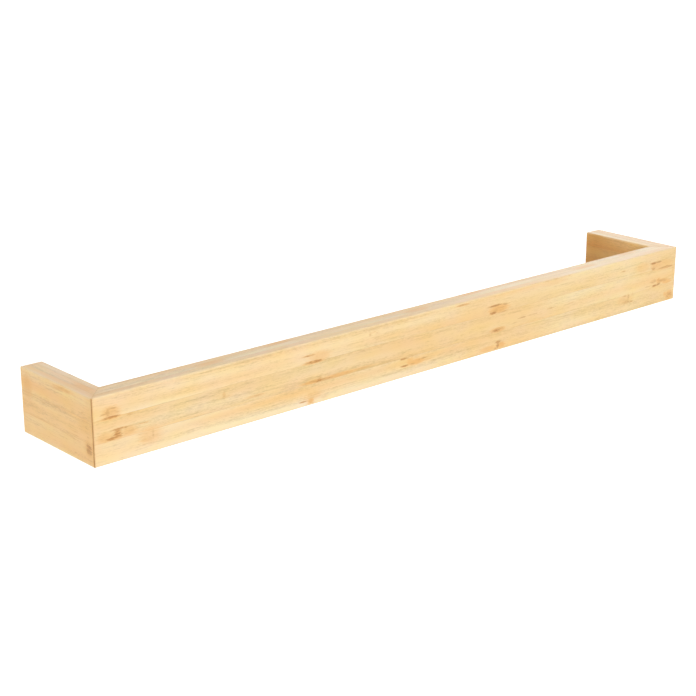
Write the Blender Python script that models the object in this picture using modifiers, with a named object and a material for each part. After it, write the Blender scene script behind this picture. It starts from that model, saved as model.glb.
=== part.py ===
"""Bamboo towel bar: a rail and two arms of laminated board, mitred, dowelled and hung on keyhole plates.

Metres, +X along the rail, +Y towards the wall, +Z up. The origin is in the wall's surface, halfway along the
bar and halfway up the boards.
"""
import math

import bmesh
import bpy

# The frame of three boards
CLEAR_WIDTH = 0.600        # between the arms
CLEAR_DEPTH = 0.075        # between the wall and the rail
BOARD_THICKNESS = 0.018
BOARD_HEIGHT = 0.050
EDGE_RADIUS = 0.0007       # sanded on every outer edge after gluing
GLUE_GAP = 0.0003          # at each mitre

# The dowels across the mitres
DOWEL_DIAMETER = 0.006
DOWEL_LENGTH = 0.016
DOWEL_EDGE_DISTANCE = 0.012  # from a board's top or bottom edge to the middle of the nearest dowel
DOWEL_INSET = 0.003        # from the middle of the mitre towards its inner corner
DOWEL_CHAMFER = 0.0007
FLUTE_DEPTH = 0.00025
FLUTES = 16

# The keyhole plates
PLATE_WIDTH = 0.012
PLATE_HEIGHT = 0.038
PLATE_THICKNESS = 0.0015
PLATE_EDGE_RADIUS = 0.0002
PLATE_SETBACK = 0.0003     # below the arm's wall face
KEYHOLE_ENTRY_DIAMETER = 0.008
KEYHOLE_SLOT_WIDTH = 0.0045
KEYHOLE_LAND = 0.003575    # of metal between the keyhole and the head of each screw
POCKET_MARGIN = 0.0005     # round the keyhole, for the head of the wall screw
POCKET_DEPTH = 0.008       # behind the plate

# The screws that hold the plates
SCREW_END_DISTANCE = 0.0045  # from an end of the plate to the middle of the nearest screw
SCREW_LENGTH = 0.012
SCREW_DIAMETER = 0.003
SCREW_CORE_DIAMETER = 0.002
SCREW_HEAD_DIAMETER = 0.0056
SCREW_HEAD_RIM = 0.0002    # the straight edge of the head above its cone
SCREW_POINT_LENGTH = 0.002
THREAD_PITCH = 0.0012
CROSS_SPAN = 0.003         # of the driver's recess, at the face of the head
CROSS_FLOOR_SPAN = 0.0016
CROSS_WIDTH = 0.0008
CROSS_DEPTH = 0.0012

# Fits and cuts
FIT_GAP = 0.0003           # between a seated piece and its seat
CUT_OVERRUN = 0.002        # by which a cutter passes the face that it starts from

# Worked out from the sizes above
LENGTH = CLEAR_WIDTH + 2 * BOARD_THICKNESS
DEPTH = CLEAR_DEPTH + BOARD_THICKNESS
ARM_X = (CLEAR_WIDTH + BOARD_THICKNESS) / 2
PLATE_SEAT_DEPTH = PLATE_SETBACK + PLATE_THICKNESS + FIT_GAP
DOWEL_Z = BOARD_HEIGHT / 2 - DOWEL_EDGE_DISTANCE
SCREW_Z = PLATE_HEIGHT / 2 - SCREW_END_DISTANCE
KEYHOLE_TOP_Z = SCREW_Z - SCREW_HEAD_DIAMETER / 2 - KEYHOLE_LAND
SLOT_END_Z = KEYHOLE_TOP_Z - KEYHOLE_SLOT_WIDTH / 2      # the middle of the slot's round end
ENTRY_Z = KEYHOLE_ENTRY_DIAMETER / 2 - KEYHOLE_TOP_Z     # the middle of the entry

# Counts of the straight pieces that make round shapes
EDGE_SEGMENTS = 3
ROUND_SIDES = 32
HALF_ROUND_SEGMENTS = 16
SCREW_SIDES = 20
WELD_DISTANCE = 0.00001
SHARP_ANGLE = math.radians(40)

LEFT = -1
RIGHT = 1
SIDE_NAMES = {LEFT: "left", RIGHT: "right"}
LEVEL_NAMES = {1: "upper", -1: "lower"}

# Colours are linear, as a Principled BSDF takes them
BAMBOO = {"colour": (0.89, 0.65, 0.35), "roughness": 0.48, "metallic": 0.0}
BAMBOO_ARM = {"colour": (0.84, 0.56, 0.28), "roughness": 0.48, "metallic": 0.0}
BEECH = {"colour": (0.72, 0.50, 0.30), "roughness": 0.65, "metallic": 0.0}
ZINC_STEEL = {"colour": (0.62, 0.63, 0.64), "roughness": 0.38, "metallic": 1.0}
SCREW_STEEL = {"colour": (0.70, 0.68, 0.60), "roughness": 0.32, "metallic": 1.0}


def clear_scene():
    """Removes whatever the open file holds."""
    for found in list(bpy.data.objects):
        bpy.data.objects.remove(found, do_unlink=True)


def new_collection(name):
    """A collection linked to the scene."""
    collection = bpy.data.collections.new(name)
    bpy.context.scene.collection.children.link(collection)
    return collection


def new_material(name, colour, roughness, metallic):
    """A plain Principled material."""
    material = bpy.data.materials.new(name)
    material.use_nodes = True
    shader = material.node_tree.nodes["Principled BSDF"]
    shader.inputs["Base Color"].default_value = (*colour, 1.0)
    shader.inputs["Roughness"].default_value = roughness
    shader.inputs["Metallic"].default_value = metallic
    material.diffuse_color = (*colour, 1.0)
    return material


def new_part(name, mesh, finish, parent=None):
    """A named piece of the towel bar with its own material."""
    part = bpy.data.objects.new(name, mesh)
    PARTS.objects.link(part)
    part.parent = parent
    if not mesh.materials:
        mesh.materials.append(None)
    part.material_slots[0].link = "OBJECT"
    part.material_slots[0].material = new_material(name, **finish)
    return part


def new_cutter(name, mesh, parent=None):
    """A shape that only cuts, left out of renders and of the built part."""
    cutter = bpy.data.objects.new(name, mesh)
    CUTTERS.objects.link(cutter)
    cutter.parent = parent
    cutter.hide_render = True
    cutter.display_type = "WIRE"
    return cutter


def new_guide(name, location, rotation=(0, 0, 0)):
    """An empty that carries the pieces of one joint or fitting."""
    guide = bpy.data.objects.new(name, None)
    PARTS.objects.link(guide)
    guide.location = location
    guide.rotation_euler = rotation
    guide.empty_display_size = BOARD_THICKNESS
    return guide


def use_boolean(part, cutter, operation="DIFFERENCE"):
    """Cuts or trims a part with another shape."""
    boolean = part.modifiers.new(cutter.name, "BOOLEAN")
    boolean.operation = operation
    boolean.solver = "EXACT"
    boolean.object = cutter
    return boolean


def use_bevel(part, width, segments, limit_method):
    """Eases a part's edges."""
    bevel = part.modifiers.new("Eased edges", "BEVEL")
    bevel.width = width
    bevel.segments = segments
    bevel.limit_method = limit_method
    bevel.angle_limit = SHARP_ANGLE
    return bevel


def smooth_by_angle_group():
    """Geometry nodes that shade a mesh smooth and keep every edge over the sharp angle crisp."""
    group = bpy.data.node_groups.new("Smooth by angle", "GeometryNodeTree")
    group.interface.new_socket("Geometry", in_out="INPUT", socket_type="NodeSocketGeometry")
    group.interface.new_socket("Geometry", in_out="OUTPUT", socket_type="NodeSocketGeometry")
    source = group.nodes.new("NodeGroupInput")
    result = group.nodes.new("NodeGroupOutput")
    faces = group.nodes.new("GeometryNodeSetShadeSmooth")
    faces.domain = "FACE"
    edges = group.nodes.new("GeometryNodeSetShadeSmooth")
    edges.domain = "EDGE"
    edges.inputs["Shade Smooth"].default_value = False
    angle = group.nodes.new("GeometryNodeInputMeshEdgeAngle")
    over = group.nodes.new("FunctionNodeCompare")
    over.operation = "GREATER_THAN"
    over.inputs["B"].default_value = SHARP_ANGLE
    group.links.new(angle.outputs["Unsigned Angle"], over.inputs["A"])
    group.links.new(over.outputs["Result"], edges.inputs["Selection"])
    group.links.new(source.outputs["Geometry"], faces.inputs["Geometry"])
    group.links.new(faces.outputs["Geometry"], edges.inputs["Geometry"])
    group.links.new(edges.outputs["Geometry"], result.inputs["Geometry"])
    return group


def arc(centre, radius, start, end, segments):
    """Points along an arc in the plane, both ends included."""
    points = []
    for step in range(segments + 1):
        angle = start + (end - start) * step / segments
        points.append((centre[0] + radius * math.cos(angle), centre[1] + radius * math.sin(angle)))
    return points


def upright_slot(width, low_centre, high_centre):
    """The outline of a slot with round ends, between the middles of its two ends."""
    top = arc((0, high_centre), width / 2, 0, math.pi, HALF_ROUND_SEGMENTS)
    bottom = arc((0, low_centre), width / 2, math.pi, 2 * math.pi, HALF_ROUND_SEGMENTS)
    return top + bottom


def prism_mesh(name, outline, thickness):
    """A closed mesh with a flat outline, as thick as asked, half on either side of the outline's plane."""
    curve = bpy.data.curves.new(name, "CURVE")
    curve.dimensions = "2D"
    curve.fill_mode = "BOTH"
    curve.extrude = thickness / 2
    spline = curve.splines.new("POLY")
    spline.points.add(len(outline) - 1)
    for point, (x, y) in zip(spline.points, outline):
        point.co = (x, y, 0, 1)
    spline.use_cyclic_u = True
    drawn = bpy.data.objects.new(name, curve)
    bpy.context.scene.collection.objects.link(drawn)
    bpy.context.view_layer.update()
    evaluated = drawn.evaluated_get(bpy.context.evaluated_depsgraph_get())
    mesh = bpy.data.meshes.new_from_object(evaluated)
    bpy.data.objects.remove(drawn)
    bpy.data.curves.remove(curve)
    shape = bmesh.new()
    shape.from_mesh(mesh)
    bmesh.ops.remove_doubles(shape, verts=shape.verts, dist=WELD_DISTANCE)
    bmesh.ops.dissolve_limit(shape, angle_limit=math.radians(1), verts=shape.verts, edges=shape.edges)
    bmesh.ops.recalc_face_normals(shape, faces=shape.faces)
    shape.to_mesh(mesh)
    shape.free()
    return mesh


def rod_mesh(name, radius, length, sides):
    """A cylinder along Z, centred."""
    shape = bmesh.new()
    bmesh.ops.create_cone(
        shape, cap_ends=True, segments=sides, radius1=radius, radius2=radius, depth=length)
    mesh = bpy.data.meshes.new(name)
    shape.to_mesh(mesh)
    shape.free()
    return mesh


def profile_mesh(name, profile):
    """A chain of edges in the XZ plane, for a Screw modifier to turn about Z."""
    mesh = bpy.data.meshes.new(name)
    edges = [(place, place + 1) for place in range(len(profile) - 1)]
    mesh.from_pydata([(radius, 0, height) for radius, height in profile], edges, [])
    return mesh


def use_turning(part, sides):
    """Turns a profile about Z into a closed round body."""
    turning = part.modifiers.new("Turned", "SCREW")
    turning.axis = "Z"
    turning.angle = 2 * math.pi
    turning.steps = sides
    turning.render_steps = sides
    turning.use_merge_vertices = True
    turning.merge_threshold = WELD_DISTANCE
    turning.use_smooth_shade = True
    return turning


def frame_outline():
    """The three boards together, seen from above: down the left arm, along the rail and up the right arm."""
    outer_x = LENGTH / 2
    inner_x = CLEAR_WIDTH / 2
    return [
        (-outer_x, 0), (-outer_x, -DEPTH), (outer_x, -DEPTH), (outer_x, 0),
        (inner_x, 0), (inner_x, -CLEAR_DEPTH), (-inner_x, -CLEAR_DEPTH), (-inner_x, 0),
    ]


def frame_mesh():
    """The glued-up frame, with its outer edges marked for easing and its two inner corners left sharp."""
    mesh = prism_mesh("frame", frame_outline(), BOARD_HEIGHT)
    shape = bmesh.new()
    shape.from_mesh(mesh)
    easing = shape.edges.layers.float.new("bevel_weight_edge")
    for edge in shape.edges:
        edge[easing] = 1.0 if edge.is_convex and edge.calc_face_angle() > SHARP_ANGLE else 0.0
    shape.to_mesh(mesh)
    shape.free()
    return mesh


def rail_region():
    """The outline that the mitres leave to the rail, past the frame on every side."""
    half_gap = GLUE_GAP / 2 * math.sqrt(2)
    front_x = LENGTH / 2 - half_gap + CUT_OVERRUN
    back_x = CLEAR_WIDTH / 2 - half_gap - CUT_OVERRUN
    front_y = -DEPTH - CUT_OVERRUN
    back_y = -CLEAR_DEPTH + CUT_OVERRUN
    return [(-front_x, front_y), (front_x, front_y), (back_x, back_y), (-back_x, back_y)]


def arm_region(side):
    """The outline that a mitre leaves to the arm on that side, past the frame on every side."""
    half_gap = GLUE_GAP / 2 * math.sqrt(2)
    outer_x = side * (LENGTH / 2 + CUT_OVERRUN)
    inner_x = side * (CLEAR_WIDTH / 2 - CUT_OVERRUN)
    outer_y = -DEPTH + half_gap - CUT_OVERRUN
    inner_y = -CLEAR_DEPTH + half_gap + CUT_OVERRUN
    return [(outer_x, outer_y), (outer_x, CUT_OVERRUN), (inner_x, CUT_OVERRUN), (inner_x, inner_y)]


def add_board(name, region, finish):
    """One board of the frame: the part of it inside a region seen from above."""
    board = new_part(name, frame_mesh(), finish)
    use_bevel(board, EDGE_RADIUS, EDGE_SEGMENTS, "WEIGHT")
    region_height = BOARD_HEIGHT + 2 * CUT_OVERRUN
    trim = new_cutter(f"{name}_region", prism_mesh(f"{name}_region", region, region_height))
    use_boolean(board, trim, "INTERSECT")
    return board


def dowel_outline():
    """A fluted dowel's section: ridges on the full diameter and grooves below it."""
    points = []
    for step in range(2 * FLUTES):
        radius = DOWEL_DIAMETER / 2 - (FLUTE_DEPTH if step % 2 else 0)
        angle = math.pi * step / FLUTES
        points.append((radius * math.cos(angle), radius * math.sin(angle)))
    return points


def add_dowel_envelope(name, guide):
    """The turned shape with chamfered ends that a fluted dowel is trimmed to."""
    radius = DOWEL_DIAMETER / 2
    half = DOWEL_LENGTH / 2
    shoulder = half - DOWEL_CHAMFER
    tip = radius - DOWEL_CHAMFER
    profile = [(0, half), (tip, half), (radius, shoulder), (radius, -shoulder), (tip, -half), (0, -half)]
    envelope = new_cutter(name, profile_mesh(name, profile), guide)
    use_turning(envelope, ROUND_SIDES)
    return envelope


def add_mitre_dowels(side, rail, arm):
    """The two dowels that cross one mitre, and the holes that they are glued into."""
    corner = SIDE_NAMES[side]
    inset = DOWEL_INSET / math.sqrt(2)
    guide = new_guide(
        f"{corner}_mitre",
        (side * (ARM_X - inset), inset - (DEPTH + CLEAR_DEPTH) / 2, 0),
        (0, math.pi / 2, side * math.pi / 4))
    section = prism_mesh("fluted_dowel", dowel_outline(), DOWEL_LENGTH)
    hole = rod_mesh("dowel_hole", DOWEL_DIAMETER / 2 + FIT_GAP, DOWEL_LENGTH + 2 * FIT_GAP, ROUND_SIDES)
    for level, level_name in LEVEL_NAMES.items():
        name = f"{corner}_{level_name}_dowel"
        place = (-level * DOWEL_Z, 0, 0)
        dowel = new_part(name, section, BEECH, guide)
        dowel.location = place
        envelope = add_dowel_envelope(f"{name}_envelope", guide)
        envelope.location = place
        use_boolean(dowel, envelope, "INTERSECT")
        cutter = new_cutter(f"{name}_hole", hole, guide)
        cutter.location = place
        use_boolean(rail, cutter)
        use_boolean(arm, cutter)


def add_slot_cutter(name, outline, depth, guide):
    """A cutter that reaches a depth below the arm's wall face and runs out past it."""
    cutter = new_cutter(name, prism_mesh(name, outline, depth + CUT_OVERRUN), guide)
    cutter.location = (0, 0, (CUT_OVERRUN - depth) / 2)
    return cutter


def screw_profile():
    """A countersunk wood screw, from the middle of its head down its outer side to its point.

    Rings of the thread's depth and pitch stand for its helix.
    """
    core = SCREW_CORE_DIAMETER / 2
    crest = SCREW_DIAMETER / 2
    head = SCREW_HEAD_DIAMETER / 2
    cone_end = -SCREW_HEAD_RIM - (head - core)
    point_start = -(SCREW_LENGTH - SCREW_POINT_LENGTH)
    profile = [(0, 0), (head, 0), (head, -SCREW_HEAD_RIM), (core, cone_end)]
    turns = int((cone_end - point_start) / THREAD_PITCH)
    for turn in range(turns):
        top = point_start + (turns - turn) * THREAD_PITCH
        profile.append((crest, top - THREAD_PITCH / 2))
        profile.append((core, top - THREAD_PITCH))
    profile.append((0, -SCREW_LENGTH))
    return profile


def screw_hole_profile():
    """The countersink and pilot hole of a plate screw, clear of it all round."""
    bore = SCREW_DIAMETER / 2 + FIT_GAP
    mouth = SCREW_HEAD_DIAMETER / 2 + FIT_GAP
    cone_end = -SCREW_HEAD_RIM - (mouth - bore)
    bottom = -SCREW_LENGTH - FIT_GAP
    return [
        (0, CUT_OVERRUN), (mouth, CUT_OVERRUN), (mouth, -SCREW_HEAD_RIM),
        (bore, cone_end), (bore, bottom), (0, bottom),
    ]


def blade_outline():
    """One blade of a cross driver, seen from its side: it tapers below the face of the head."""
    reach = CROSS_SPAN / 2
    floor_reach = CROSS_FLOOR_SPAN / 2
    return [
        (-reach, CUT_OVERRUN), (-reach, 0), (-floor_reach, -CROSS_DEPTH),
        (floor_reach, -CROSS_DEPTH), (reach, 0), (reach, CUT_OVERRUN),
    ]


def add_plate_screw(name, place, plate, arm, guide):
    """One screw, its cross recess and its hole through the plate into the arm."""
    screw = new_part(name, profile_mesh(name, screw_profile()), SCREW_STEEL, guide)
    screw.location = place
    use_turning(screw, SCREW_SIDES)
    blade = prism_mesh("driver_blade", blade_outline(), CROSS_WIDTH)
    for number, turn in enumerate((0, math.pi / 2)):
        recess = new_cutter(f"{name}_recess_{number}", blade, guide)
        recess.location = place
        recess.rotation_euler = (math.pi / 2, 0, turn)
        use_boolean(screw, recess)
    hole = new_cutter(f"{name}_hole", profile_mesh(f"{name}_hole", screw_hole_profile()), guide)
    hole.location = place
    use_turning(hole, ROUND_SIDES)
    use_boolean(plate, hole)
    use_boolean(arm, hole)


def add_hanger(side, arm):
    """The keyhole plate in an arm's wall end, drawn as it is seen from the wall, with its two screws."""
    end = SIDE_NAMES[side]
    guide = new_guide(f"{end}_hanger", (side * ARM_X, 0, 0), (math.pi / 2, 0, math.pi))
    end_centre = (PLATE_HEIGHT - PLATE_WIDTH) / 2
    plate_outline = upright_slot(PLATE_WIDTH, -end_centre, end_centre)
    seat_outline = upright_slot(PLATE_WIDTH + 2 * FIT_GAP, -end_centre, end_centre)
    pocket_outline = upright_slot(KEYHOLE_ENTRY_DIAMETER + 2 * POCKET_MARGIN, ENTRY_Z, SLOT_END_Z)
    entry_outline = arc((0, ENTRY_Z), KEYHOLE_ENTRY_DIAMETER / 2, 0, 2 * math.pi, ROUND_SIDES)[:-1]
    slot_outline = upright_slot(KEYHOLE_SLOT_WIDTH, ENTRY_Z, SLOT_END_Z)

    seat = add_slot_cutter(f"{end}_plate_seat", seat_outline, PLATE_SEAT_DEPTH, guide)
    pocket = add_slot_cutter(f"{end}_pocket", pocket_outline, PLATE_SEAT_DEPTH + POCKET_DEPTH, guide)
    use_boolean(arm, seat)
    use_boolean(arm, pocket)

    plate_mesh = prism_mesh(f"{end}_hanger_plate", plate_outline, PLATE_THICKNESS)
    plate = new_part(f"{end}_hanger_plate", plate_mesh, ZINC_STEEL, guide)
    plate.location = (0, 0, -PLATE_SETBACK - PLATE_THICKNESS / 2)
    use_bevel(plate, PLATE_EDGE_RADIUS, 2, "ANGLE")
    use_boolean(plate, add_slot_cutter(f"{end}_keyhole_entry", entry_outline, PLATE_SEAT_DEPTH, guide))
    use_boolean(plate, add_slot_cutter(f"{end}_keyhole_slot", slot_outline, PLATE_SEAT_DEPTH, guide))

    for level, level_name in LEVEL_NAMES.items():
        place = (0, level * SCREW_Z, -PLATE_SETBACK)
        add_plate_screw(f"{end}_{level_name}_plate_screw", place, plate, arm, guide)


clear_scene()
PARTS = new_collection("bamboo_towel_bar")
CUTTERS = new_collection("cutters")

front_rail = add_board("front_rail", rail_region(), BAMBOO)
for frame_side in (LEFT, RIGHT):
    frame_arm = add_board(f"{SIDE_NAMES[frame_side]}_arm", arm_region(frame_side), BAMBOO_ARM)
    add_mitre_dowels(frame_side, front_rail, frame_arm)
    add_hanger(frame_side, frame_arm)

SMOOTH_BY_ANGLE = smooth_by_angle_group()
for piece in PARTS.objects:
    if piece.type == "MESH":
        piece.modifiers.new("Smooth by angle", "NODES").node_group = SMOOTH_BY_ANGLE
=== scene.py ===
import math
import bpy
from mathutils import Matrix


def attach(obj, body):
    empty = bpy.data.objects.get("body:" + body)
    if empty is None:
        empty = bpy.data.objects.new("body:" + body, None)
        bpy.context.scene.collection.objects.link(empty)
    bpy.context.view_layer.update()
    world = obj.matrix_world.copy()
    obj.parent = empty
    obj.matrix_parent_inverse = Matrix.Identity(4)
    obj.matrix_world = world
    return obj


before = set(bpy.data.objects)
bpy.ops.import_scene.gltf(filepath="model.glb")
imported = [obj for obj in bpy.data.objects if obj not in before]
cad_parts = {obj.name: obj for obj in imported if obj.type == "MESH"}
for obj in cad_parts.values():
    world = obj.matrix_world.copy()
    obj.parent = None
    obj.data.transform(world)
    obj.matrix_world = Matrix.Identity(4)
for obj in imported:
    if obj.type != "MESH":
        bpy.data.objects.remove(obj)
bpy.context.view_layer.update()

# Looks, light and camera for a bamboo towel bar. Every material is made of nodes on Object coordinates,
# which are the frame's own metres, so the grain runs through each board as it does in the real wood.
#
# Lengths in a board are in millimetres. A smooth step is written as where it starts and ends and, unless
# they are 0 and 1, its values there. A frequency is in waves per metre.

from types import SimpleNamespace

import bmesh
import bpy
from mathutils import Vector

MM = 0.001
ROOT_TWO = math.sqrt(2.0)

# Boards
BOARD_HEIGHT = 50.0
BOARD_THICKNESS = 18.0
HALF_LENGTH = 318.0
DEPTH = 93.0
EASED_RADIUS = 0.7         # of the outer edges
STRIP_HEIGHT = 16.8        # strips lie edge to edge up the board
FIRST_STRIP_CUT = 0.4      # missing from the lowest strip of the outer layer
STRIP_THICKNESS = 6.0      # three layers through the board
LAYER_STAGGER = 6.1        # from one layer's strip joints to the next one's
SKIN = 0.05                # a point on a face is looked up this far inside it
BEHIND_OUTER_LAYER = (STRIP_THICKNESS - 0.01, STRIP_THICKNESS + 0.01)
BACK_HALF = (8.0, 10.0)    # by depth from the outer face

# Kinds of face, by how far the normal points up, along the grain, or along any axis
LEVEL_FACE = (0.5, 0.9)
END_FACE = (0.80, 0.97)
ROUNDED_EDGE = (0.985, 0.90)

# Fibres: how they wander through a board
STRIP_SHIFT = 90.0         # between the noise of two strips, at the most
WANDER_LENGTH = 110.0
WANDER_HEIGHT = 30.0
WANDER_DETAIL = 3.0
WANDER_UP = 1.4
WANDER_THROUGH = 1.1
SAWN_SLOPE = 0.008         # between the steepest and the flattest strip

# Noises drawn out along the grain: a streak's length, height and depth, and the noise's detail and
# roughness
STREAKS = {
    "fine": (22.0, 0.34, 0.40, 2.0, 0.5),      # single fibres
    "medium": (45.0, 2.0, 2.4, 3.0, 0.5),
    "wide": (120.0, 4.4, 5.0, 2.0, 0.5),
    "broad": (95.0, 9.0, 10.0, 0.0, 0.5),      # slow changes of hue
    "band": (600.0, 9.0, 12.0, 0.0, 0.5),      # slow changes of tone
    "long": (420.0, 6.0, 7.0, 0.0, 0.5),
    "patch": (20.0, 9.0, 10.0, 0.0, 0.5),      # yellower and bluer patches
    "speck": (2.0, 0.8, 1.0, 1.0, 0.5),
    "fleck": (5.0, 1.5, 1.8, 1.0, 0.5),
    "short": (12.0, 0.9, 1.2, 2.0, 0.5),
    "stroke": (6.0, 0.90, 1.2, 2.0, 0.65),     # breaks the dark of a growth node into strokes
    "hair": (7.0, 0.30, 0.35, 2.0, 0.6),
}
BUNDLE_LENGTH = 46.0       # of the cells that hold one bundle of fibres each
BUNDLE_WIDTH = 0.74
BUNDLE_DISORDER = 0.85
BUNDLE_CORE = 0.16         # distance from a cell's middle, in cells
BUNDLE_RIM = 0.46

# Joints between strips, and the glue line on a mitre's outer corner
JOINT_PROFILE = (0.20, 0.06)               # by distance from the joint
JOINT_HIDDEN = (1.6, 1.2)                  # this near the board's top or bottom, none shows
JOINT_PATCH_LENGTH = 21.0
JOINT_PATCHES = (0.32, 0.62, 0.25, 0.85)
SEAM_PROFILE = (1.3, 0.3)
SEAM_PATCH_HEIGHT = 9.0
SEAM_DETAIL = 3.0
SEAM_ROUGHNESS = 0.6
SEAM_PATCHES = (0.30, 0.60, 0.6, 1.0)
SEAM_INWARD = (2.0, 0.6, 0.25, 1.0)        # by depth from the outer face

# Growth nodes. Their outlines are torn by a ragged noise and frayed by a finer one, whose sizes are along
# the grain, through the board and up
NODE_SPACING = 205.0       # along a bamboo culm
RAGGED_SIZE = (9.0, 1.2, 0.42)
FRAYED_SIZE = (2.4, 1.0, 0.55)
OUTLINE_DETAIL = 2.0
RAGGED_ROUGHNESS = 0.5
FRAYED_ROUGHNESS = 0.6
TORN_BY = 11.0
BAR_TORN_BY = 3.5
FRAYED_BY = 1.1            # of a mark's half size
MARK_DARK = (1.2, 0.5)     # by distance from a mark's middle, in half sizes
MARK_WARM = (1.9, 0.5)
CULM_SHIFT = 17.3          # between the nodes of two strips, in spacings, at the most
NODE_LOWEST = 4.5          # height of a node's middle in its strip
NODE_RANGE = 7.0
NODE_HALF_SIZE = (9.0, 3.2)
NODE_WARM = (2.1, 0.5, 0.0, 0.75)
LIP_HALF_SIZE = (7.0, 1.0)
LIP_DARK = (1.2, 0.4, 0.0, 0.9)
LIP_NEAREST = 1.0          # from a node's middle to each of its two lips
LIP_RANGE = 1.4
LIP_SLIDE = 6.0            # of the two lips along the grain, at the most
LEVEL_NODE_HEIGHT = 0.1    # on a level face, where heights don't tell points apart
LEVEL_NODE_DARKNESS = 0.3

# Ends, and edges worn pale, with a painted highlight in a band along each edge
END_WARMTH = (13.0, 1.0, 0.0, 0.55)        # by distance from a board's end
WORN_AND_HIGHLIGHT_PROFILE = (1.9, 0.5)                  # by distance from the edge
RUB_FREQUENCY = 90.0
RUB_DETAIL = 3.0
RUB_ROUGHNESS = 0.6
RUB_PATCHES = (0.36, 0.60, 0.25, 0.8)
WORN_AND_HIGHLIGHT_CLEAR_OF_MITRE = (1.0, 2.0)                  # by distance from the mitre

# Wood colours, linear
BAMBOO_RAMP = (
    (0.0, (0.63, 0.365, 0.142)), (0.25, (0.800, 0.527, 0.237)), (0.4, (0.877, 0.613, 0.312)),
    (0.5, (0.908, 0.654, 0.354)), (0.75, (0.950, 0.736, 0.450)), (1.0, (0.970, 0.800, 0.550)),
)
TONE_MIDDLE = 0.52         # on the ramp
TONE_OF_BAND = 0.62
TONE_OF_STRIP = 0.11
BROAD_HUES = ((1.0, 0.88, 0.73), (1.0, 1.12, 1.28))
PATCH_HUES = ((1.0, 1.0, 0.82), (1.0, 1.0, 1.18))
NODE_BROWN = (0.45, 0.160, 0.016)
NODE_ORANGE = (0.885, 0.470, 0.125)
GLUE_BROWN = (0.46, 0.200, 0.035)
END_GRAIN_BROWN = (0.62, 0.37, 0.150)
DOT_BROWN = (0.22, 0.100, 0.035)
PALE_EDGE_AND_HIGHLIGHT = (0.93, 0.74, 0.47)

# Fibres darken or lighten the wood: by noise, a smooth step and a weight, then by noise and a weight
LIGHT_BASE = 1.10
LIGHT_STEPS = (("fine", 0.60, 0.25, -0.20), ("hair", 0.60, 0.25, -0.15), ("short", 0.42, 0.24, -0.07))
LIGHT_SWINGS = (("wide", 0.48), ("long", 0.42), ("medium", 0.11), ("fleck", 0.22), ("speck", 0.30))
LIGHT_OF_BUNDLE = -0.04
LIGHT_TOP = 1.035
LIGHT_TOP_ROUNDING = 0.10
RED_POWER = 0.85           # a dark fibre loses less red than green, and more blue
BLUE_POWER = 1.35
BRIGHTEST = (0.985, 0.985, 0.985)

# How strongly each mark covers the wood
JOINT_COVER = 0.45
STAIN_COVER = 0.80
STAIN_OF_DARK = 0.85
STROKE_CONTRAST = 2.4
STROKE_OF_DARK = 0.7
STROKES = (0.10, 0.70, 0.2, 0.85)
STROKE_HAIRS = (0.30, 0.60, 0.7, 1.0)
SEAM_COVER = 0.85
END_GRAIN_COVER = 0.70
END_JOINT = (0.30, 0.10, 0.0, 0.7)         # by distance from a joint
DOT_RIM = 0.34                             # at a layer's inner side, in cells
DOT_RIM_GROWTH = 0.30                      # towards its outer side, where bundles are denser
DOT_COVER = 0.85
WORN_AND_HIGHLIGHT_COVER = 0.6

# Lacquer, thinner over the fibres' ridges, nodes and end grain
WOOD_ROUGHNESS = 0.34
ROUGHNESS_OF_MEDIUM = 0.16
ROUGHNESS_OF_DARK = 0.10
ROUGHNESS_OF_END_GRAIN = 0.18
ROUGHNESS_OF_WORN_AND_HIGHLIGHT = 0.10
HEIGHT_OF_NOISE = 0.5
HEIGHT_OF_BUNDLE = -0.35
HEIGHT_OF_JOINT = -1.2
HEIGHT_OF_DARK = -0.9
WOOD_BUMP = 0.7
WOOD_BUMP_METRES = 0.00005
WOOD_IOR = 1.47
COAT_WEIGHT = 0.3
COAT_ROUGHNESS = 0.28

# Tints of the boards, at the rail's left and right ends or an arm's front and wall ends
RAIL_FACE_TINTS = ((1.0, 1.01, 0.98), (1.005, 1.065, 1.0))
RAIL_EDGE_TINT = (1.0, 1.0, 1.0)
ARM_FACE_TINTS = ((1.07, 0.915, 0.62), (1.07, 0.925, 0.65))
ARM_EDGE_TINT = (0.99, 0.95, 0.92)
BACK_TINTS = ((1.06, 0.94, 0.72), (1.06, 0.94, 0.72))
# The right arm's inner face has painted light and shade: lighter near the front, darker and more orange towards
# the wall.
RIGHT_ARM_PAINTED_LIGHT_AND_SHADE_TINTS = ((1.20, 1.08, 0.78), (0.74, 0.44, 0.12))
RAIL_SEED = 3.0
LEFT_ARM_SEED = 11.0
RIGHT_ARM_SEED = 23.0

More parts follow.
